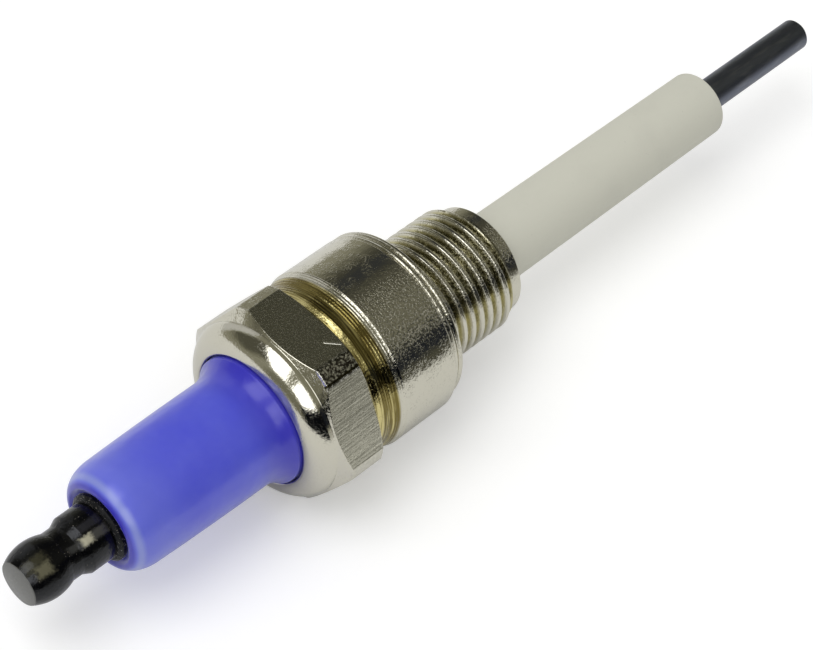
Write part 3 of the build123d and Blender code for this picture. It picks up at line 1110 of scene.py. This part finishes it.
    def mark_flats(self, piece: Piece) -> None:
        """Give the milled flats their own finish.

        Args:
            piece: the dressed shell.
        """
        piece.data.materials.append(self.flats_finish.material())
        rear, front = self.hexagon
        for face in piece.data.polygons:
            on_hexagon = rear - self.flat_reach < face.center.x / MM < front + self.flat_reach
            square = abs(face.normal.x) < self.flat_tilt
            if on_hexagon and square and face.area > self.least_flat * MM**2:
                face.material_index = 1

    def shape(self) -> Piece:
        """Turn the body, mill its flats, soften its edges and add its thread.

        Returns:
            The shell before it is smoothed.
        """
        piece = self.spin()
        self.mill_flats(piece)
        self.soften(piece)
        pick(self.roll_thread(), piece)
        bpy.ops.object.join()
        return piece

    def build(self) -> Piece:
        """Make the shell, keep its flats flat beside their rounds, and give them their own finish.

        Returns:
            The finished piece.
        """
        piece = super().build()
        pick(piece)
        normals = piece.modifiers.new("Normals", "WEIGHTED_NORMAL")
        normals.keep_sharp = True
        normals.weight = self.flat_weight
        apply_last(piece)
        self.mark_flats(piece)
        return piece


@dataclass
class Gasket(Turned):
    """The folded sealing ring that hangs loose behind the first turn of thread."""

    node: str = "gasket"
    slot: str = "plated_steel"
    finish: Finish = NickelPlate("gasket_plate", groove=NOWHERE, thread=NOWHERE)
    smooth_deg: float = 50.0
    centre: Pair = (0.2255, 0.1080)
    radius: float = 9.7
    bore_radius: float = 7.3
    fold: float = 0.65
    layers: int = 2
    rounding: float = 0.3
    steps: int = 6

    def outline(self) -> Outline:
        """Draw two rounded layers pressed together.

        Returns:
            The closed outline.
        """
        drawn = Outline()
        top, foot = self.radius - self.rounding, self.bore_radius + self.rounding
        spans = [(self.fold * layer, self.fold * (layer + 1)) for layer in range(self.layers)]
        for low, high in spans:
            drawn.round((low + self.rounding, top), self.rounding, (180.0, 90.0), self.steps)
            drawn.round((high - self.rounding, top), self.rounding, (90.0, 0.0), self.steps)
        for low, high in reversed(spans):
            drawn.round((high - self.rounding, foot), self.rounding, (0.0, -90.0), self.steps)
            drawn.round((low + self.rounding, foot), self.rounding, (-90.0, -180.0), self.steps)
        return drawn


@dataclass
class UpperInsulator(Turned):
    """The blue sleeve: dished end, large round, slight taper, flare and foot flange."""

    node: str = "upper_insulator"
    slot: str = "blue_glaze"
    finish: Finish = BlueCeramic("blue_ceramic")
    edge: Edge = Edge(0.08, 25.0, 3)
    bore_radius: float = 3.45
    front_x: float = -37.7
    dish: float = 0.35
    dish_radius: float = 4.2
    ring_radius: float = 3.67
    top_radius: float = 5.79
    top_round: float = 3.0
    mid_radius: float = 6.0
    waist_x: float = -21.5
    shoulder: Pair = (-19.0, 7.05)
    neck_exit: Pair = (-18.018, 7.1)
    flange_rear: Pair = (-17.025, 7.9)
    flange_front_x: float = -14.775
    steps: int = 24
    dish_steps: int = 3
    flare_steps: int = 14

    def outline(self) -> Outline:
        """Draw the sleeve from its bore round its outside.

        Returns:
            The closed outline.
        """
        dish_x = self.front_x - self.dish
        round_x = dish_x + self.top_round
        rise = self.top_radius - self.dish_radius
        shoulder_x, shoulder_r = self.shoulder
        run, lift = shoulder_x - self.waist_x, shoulder_r - self.mid_radius
        flare = (run**2 + lift**2) / (2 * lift)
        drawn = Outline([(self.front_x, self.bore_radius), (self.front_x, self.ring_radius)])
        drawn.to(dish_x, self.dish_radius, self.dish_steps)
        drawn.arc((round_x, self.dish_radius), (self.top_round, rise), (180.0, 90.0), self.steps)
        taper = self.mid_radius - self.top_radius
        length = self.waist_x - round_x
        for step in range(1, self.steps + 1):
            share = step / self.steps
            drawn.to(round_x + length * share, self.top_radius + taper * (1 - (1 - share) ** 2))
        end_deg = -90.0 + math.degrees(math.asin(run / flare))
        drawn.round((self.waist_x, self.mid_radius + flare), flare, (-90.0, end_deg), self.flare_steps)
        drawn.to(*self.neck_exit)
        drawn.to(*self.flange_rear)
        drawn.to(self.flange_front_x, self.flange_rear[1])
        drawn.to(self.flange_front_x, self.bore_radius)
        return drawn


@dataclass
class WhiteTube(Turned):
    """The white ceramic: nose tube, conical shoulder, flange and neck, with a stepped bore."""

    node: str = "ceramic_tube"
    slot: str = "white_ceramic"
    finish: Finish = WhiteCeramic("white_ceramic")
    edge: Edge = Edge(0.04, 35.0, 2)
    segments: int = 128
    root_radius: float = 4.0
    tip_radius: float = 3.76
    end_x: float = 48.8
    edge_round: float = 0.25
    bore_radius: float = 1.9
    lip: float = 0.12
    core_radius: float = 2.4
    step_x: float = -5.0
    shoulder_x: float = -0.815
    fillet: float = 0.5
    flange: Triple = (-2.775, -9.775, 7.85)
    neck: Pair = (-37.7, 3.4)
    edge_steps: int = 6
    length_steps: int = 24
    fillet_steps: int = 2

    def outline(self) -> Outline:
        """Draw the ceramic from the tip's bore round its outside.

        Returns:
            The closed outline.
        """
        front, rear, flange_r = self.flange
        neck_x, neck_r = self.neck
        top = self.tip_radius - self.edge_round
        drawn = Outline([(self.end_x - self.lip, self.bore_radius)])
        drawn.to(self.end_x, self.bore_radius + self.lip)
        drawn.to(self.end_x, top)
        drawn.round((self.end_x - self.edge_round, top), self.edge_round, (0.0, 90.0), self.edge_steps)
        drawn.to(self.shoulder_x + self.fillet, self.root_radius, self.length_steps)
        drawn.to(self.shoulder_x, self.root_radius + self.fillet, self.fillet_steps)
        drawn.to(front, flange_r)
        drawn.to(rear, flange_r)
        drawn.to(rear, neck_r)
        drawn.to(neck_x, neck_r)
        drawn.to(neck_x, self.core_radius)
        drawn.to(self.step_x, self.core_radius)
        drawn.to(self.step_x, self.bore_radius)
        return drawn


@dataclass
class Rod(Turned):
    """The bare rod, with its upset head on the step of the ceramic's bore."""

    node: str = "electrode_rod"
    slot: str = "dark_rod"
    finish: Finish = DarkAlloy("dark_alloy")
    smooth_deg: float = 35.0
    edge: Edge = Edge(0.05, 30.0, 2)
    segments: int = 96
    radius: float = 1.815
    end_x: float = 66.4
    chamfer: float = 0.35
    step_x: float = -5.0
    head: Pair = (1.2, 2.315)
    length_steps: int = 12

    def outline(self) -> Outline:
        """Draw the rod from its end to its head.

        Returns:
            The closed outline.
        """
        head_length, head_radius = self.head
        drawn = Outline([(self.end_x, 0.0)])
        drawn.to(self.end_x, self.radius - self.chamfer)
        drawn.to(self.end_x - self.chamfer, self.radius)
        drawn.to(self.step_x, self.radius, self.length_steps)
        drawn.to(self.step_x, head_radius)
        drawn.to(self.step_x - head_length, head_radius)
        drawn.to(self.step_x - head_length, 0.0)
        return drawn


@dataclass
class TerminalRing(Turned):
    """The thin black ring under the nut."""

    node: str = "terminal_ring"
    slot: str = "black_finish"
    finish: Finish = BlackFinish(
        "dark_ring", Gloss.ROUGH, dust=Grain(6.5, 3.0, (0.64, 0.69)), relief=0.10, index=1.32
    )
    smooth_deg: float = 35.0
    edge: Edge = Edge(0.04, 30.0, 2)
    segments: int = 128
    radius: float = 3.62
    hole_radius: float = 2.05
    ends_x: Pair = (-38.5, -37.7)
    chamfer: float = 0.36

    def outline(self) -> Outline:
        """Draw the ring, with a chamfer at the nut's side.

        Returns:
            The closed outline.
        """
        rear, front = self.ends_x
        drawn = Outline([(front, self.hole_radius), (front, self.radius)])
        drawn.to(rear + self.chamfer, self.radius)
        drawn.to(rear, self.radius - self.chamfer)
        drawn.to(rear, self.hole_radius)
        return drawn


@dataclass
class TerminalNut(Turned):
    """The black nut with barrel, neck and ball head."""

    node: str = "terminal_nut"
    slot: str = "black_finish"
    finish: Finish = BlackFinish(
        "black_lacquer",
        # painted reflections of the room's bright patches on the nut's lit side; the one at -40.95 is a
        # bright painted highlight
        wear_and_painted_reflections=(
            PaintedReflection(-40.0, 99.0, (1.4, 0.42), shade(0.016, 0.016, 0.019)),
            PaintedReflection(-40.0, 121.0, (1.5, 0.48), shade(0.050, 0.049, 0.044)),
            PaintedReflection(-40.95, 121.0, (0.62, 0.46), shade(0.38, 0.36, 0.26)),
            PaintedReflection(-42.3, 121.0, (0.7, 0.36), shade(0.030, 0.030, 0.028)),
            PaintedReflection(-46.3, 100.0, (1.2, 0.62), shade(0.030, 0.028, 0.015)),
            PaintedReflection(-46.0, 121.0, (0.85, 0.62), shade(0.105, 0.098, 0.060)),
        ),
    )
    smooth_deg: float = 30.0
    edge: Edge = Edge(0.06, 22.0, 2)
    segments: int = 128
    foot_x: float = -38.5
    hole_radius: float = 2.05
    barrel: Pair = (-41.1, 3.07)
    shoulder_x: float = -42.0
    neck: Pair = (-43.3, 2.63)
    neck_ease: float = 0.1
    ball: Pair = (-45.2, 3.03)
    end: Pair = (-47.6999, 2.3)
    hole_end_x: float = -45.45
    drill_x: float = -46.652
    end_ease: float = 1.9
    ball_steps: int = 12

    def outline(self) -> Outline:
        """Draw the nut with its blind hole.

        Returns:
            The closed outline.
        """
        end_x, end_r = self.end
        ball_x, ball_r = self.ball
        neck_x, neck_r = self.neck
        shares = [step / self.ball_steps for step in range(1, self.ball_steps + 1)]
        ball_length, back = ball_x - end_x, neck_x + self.neck_ease - ball_x
        drawn = Outline([(end_x, 0.0), (end_x, end_r)])
        for angle in (share * math.pi / 2 for share in shares):
            lift = math.sin(angle) ** self.end_ease
            drawn.to(end_x + ball_length * (1 - math.cos(angle)), end_r + (ball_r - end_r) * lift)
        for share in shares:
            drawn.to(ball_x + back * share, ball_r - (ball_r - neck_r) * share**2)
        drawn.to(self.shoulder_x, neck_r)
        drawn.to(*self.barrel)
        drawn.to(self.foot_x, self.barrel[1])
        drawn.to(self.foot_x, self.hole_radius)
        drawn.to(self.hole_end_x, self.hole_radius)
        drawn.to(self.drill_x, 0.0)
        return drawn


@dataclass
class InnerStack:
    """The pieces that lie inside the shell and keep their CAD form."""

    steel_nodes: tuple[str, ...] = (
        "seat_washer",
        "packing_ring_lower",
        "packing_ring_upper",
        "terminal_stud",
    )
    steel: Finish = PlainFinish(
        "inner_steel",
        shade(0.52, 0.52, 0.53),
        shade(0.38, 0.38, 0.39),
        metal=1.0,
        rough=(0.27, 0.43),
    )
    talc: Finish = PlainFinish(
        "talc_powder",
        shade(0.72, 0.70, 0.66),
        shade(0.60, 0.59, 0.56),
        rough=(0.77, 0.93),
        mottle=Grain(6.0, 4.0),
        depth=0.03,
    )
    glass: Finish = PlainFinish(
        "seal_glass",
        shade(0.02, 0.02, 0.024),
        shade(0.06, 0.06, 0.065),
        rough=(0.12, 0.28),
        mottle=Grain(2.0, 4.0),
    )

    def build(self) -> dict[str, bpy.types.Material]:
        """Give each inner CAD node its finish.

        Returns:
            The materials by the names of the nodes.
        """
        made = dict.fromkeys(self.steel_nodes, self.steel.material())
        made |= {"talc_packing": self.talc.material(), "glass_seal": self.glass.material()}
        for name, material in made.items():
            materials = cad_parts[name].data.materials
            materials.clear()
            materials.append(material)
        return made


def aim(name: str, data: bpy.types.ID, place: Triple, target: Triple, roll_deg: float = 0.0) -> Piece:
    """Put a camera or a lamp in the scene, looking at a point.

    Args:
        name: the object's name.
        data: its camera or light.
        place: where it stands, in millimetres.
        target: what it looks at, in millimetres.
        roll_deg: how far it is rolled about its view.

    Returns:
        The new object.
    """
    made = bpy.data.objects.new(name, data)
    bpy.context.scene.collection.objects.link(made)
    here, there = (Vector(spot) * MM for spot in (place, target))
    made.location = here
    made.rotation_mode = "QUATERNION"
    level = (there - here).to_track_quat("-Z", "Y")
    made.rotation_quaternion = level @ Quaternion((0.0, 0.0, 1.0), math.radians(roll_deg))
    return made


@dataclass(frozen=True)
class Patch:
    """A soft-edged part of the room that the metal reflects.

    It spans a range of the direction's X and a range of degrees about the X axis, from +Y towards +Z.
    """

    along: Pair
    around: Pair
    level: float
    soft: float = 0.06
    soft_deg: float = 5.0


@dataclass
class Studio:
    """The room, the lamps, the floor and the camera."""

    room_level: float = 0.30
    plain_level: float = 0.65
    dim_level: float = 0.20
    dim_colour: Colour = shade(1.0, 0.97, 0.74)
    black_levels: Pair = (0.02, 0.07)
    black_colour: Colour = shade(0.80, 0.92, 1.25)
    patches: tuple[Patch, ...] = (
        Patch((-0.20, 0.34), (-20.0, 42.0), 0.60),
        Patch((-0.20, 0.34), (42.0, 150.0), 0.26),
        Patch((-0.20, 0.34), (176.0, 215.0), 0.50),
        Patch((-0.20, 0.34), (147.0, 174.0), 0.015),
        Patch((0.36, 1.20), (18.0, 240.0), 0.085, 0.12, 30.0),
        Patch((0.36, 1.20), (36.0, 60.0), 0.045, 0.12, 18.0),
        Patch((0.36, 1.20), (94.0, 142.0), 0.165, 0.12, 34.0),
        Patch((0.36, 1.20), (147.0, 171.0), 0.018, 0.12, 14.0),
        Patch((0.36, 1.20), (192.0, 260.0), 0.45, 0.12, 10.0),
        Patch((-0.80, -0.22), (8.0, 62.0), 0.10, 0.14, 18.0),
        Patch((-0.90, -0.22), (60.0, 97.0), 2.6),
        Patch((-0.90, -0.40), (98.0, 112.0), 0.30),
        Patch((-0.89, -0.40), (113.0, 149.0), 2.6),
        Patch((-0.95, -0.14), (151.0, 240.0), 0.004, 0.05),
        Patch((-1.30, -0.94), (-20.0, 240.0), 0.20, 0.04),
    )
    floor_z: float = -10.0
    floor_size: float = 260.0
    floor_colour: Colour = shade(0.84, 0.84, 0.83)
    floor_lift: float = 0.28
    camera_place: Triple = (-133.334, -96.865, 202.494)
    camera_aim: Triple = (1.504, -1.400, -0.016)
    camera_roll_deg: float = 12.07
    camera_lens: float = 115.12
    camera_sensor: float = 36.0
    camera_reach: Pair = (10.0, 20000.0)
    lamp_place: Triple = (-250.0, 100.0, 620.0)
    lamp_size: float = 450.0
    lamp_power: float = 1.75

    def light_room(self) -> None:
        """Fill the world: white to the camera, patched in reflections, and plain light elsewhere."""
        world = bpy.data.worlds.new("room")
        bpy.context.scene.world = world
        world.use_nodes = True
        w = Wiring(world.node_tree)
        direction = w.node("TexCoord").outputs["Generated"]
        x, y, z = w.node("SeparateXYZ", Vector=direction).outputs
        turn = w.times(w.calc("ARCTAN2", z, y), 180 / math.pi)
        turn = w.plus(turn, w.times(w.calc("LESS_THAN", turn, -90.0), 360.0))
        level = self.room_level
        for patch in self.patches:
            around = w.band(turn, *patch.around, patch.soft_deg)
            level = w.blend(w.times(w.band(x, *patch.along, patch.soft), around), level, patch.level)
        path = w.node("LightPath").outputs
        level = w.blend(path["Is Glossy Ray"], self.plain_level, level)
        level = w.blend(path["Is Camera Ray"], level, 1.0)
        lit = w.rise(level, self.dim_level, self.plain_level)
        colour = w.mix(lit, self.dim_colour, shade(1.0, 1.0, 1.0))
        colour = w.mix(w.rise(level, *self.black_levels), self.black_colour, colour)
        glow = w.node("Background", Color=colour, Strength=level)
        w.node("OutputWorld", Surface=glow.outputs[0])
        world.cycles.sampling_method = "NONE"

    def lay_floor(self) -> None:
        """Lay the pale floor under the hexagon's flat."""
        bpy.ops.object.select_all(action="DESELECT")
        place = (0.0, 0.0, self.floor_z * MM)
        bpy.ops.mesh.primitive_plane_add(size=self.floor_size * MM, location=place)
        floor = bpy.context.active_object
        floor.name = "floor"
        made = bpy.data.materials.new("pale_floor")
        made.use_nodes = True
        w = Wiring(made.node_tree)
        paper = w.node("BsdfDiffuse", Color=self.floor_colour)
        path = w.node("LightPath").outputs
        lift = w.node("Emission", Strength=w.times(path["Is Camera Ray"], self.floor_lift))
        both = w.node("AddShader")
        w.put(both.inputs[0], paper.outputs[0])
        w.put(both.inputs[1], lift.outputs[0])
        w.node("OutputMaterial", Surface=both.outputs[0])
        floor.data.materials.append(made)

    def hang_lamp(self) -> None:
        """Hang one large soft lamp that reflections don't show."""
        light = bpy.data.lights.new("soft_lamp", "AREA")
        light.energy = self.lamp_power
        light.size = self.lamp_size * MM
        lamp = aim("soft_lamp", light, self.lamp_place, (0.0, 0.0, 0.0))
        lamp.visible_glossy = False

    def set_camera(self) -> None:
        """Set the camera where the photograph was taken from."""
        data = bpy.data.cameras.new("camera")
        data.lens = self.camera_lens
        data.sensor_width = self.camera_sensor
        data.sensor_fit = "HORIZONTAL"
        data.clip_start, data.clip_end = (reach * MM for reach in self.camera_reach)
        camera = aim("camera", data, self.camera_place, self.camera_aim, self.camera_roll_deg)
        bpy.context.scene.camera = camera

    def build(self) -> None:
        """Set up camera, floor, room and lamp."""
        bpy.context.scene.view_settings.view_transform = "Standard"
        self.set_camera()
        self.lay_floor()
        self.light_room()
        self.hang_lamp()


def main() -> None:
    """Build the studio, dress every piece from shell to terminal, and report each one."""
    logging.basicConfig(level=logging.INFO, format="%(message)s")
    Studio().build()
    turned = (Shell(), Gasket(), WhiteTube(), UpperInsulator(), Rod(), TerminalRing(), TerminalNut())
    for part in turned:
        piece = part.build()
        LOG.info("%s: %d faces, %s", piece.name, len(piece.data.polygons), part.finish.name)
    for name, material in InnerStack().build().items():
        LOG.info("%s: %s", name, material.name)


if __name__ == "__main__":
    main()
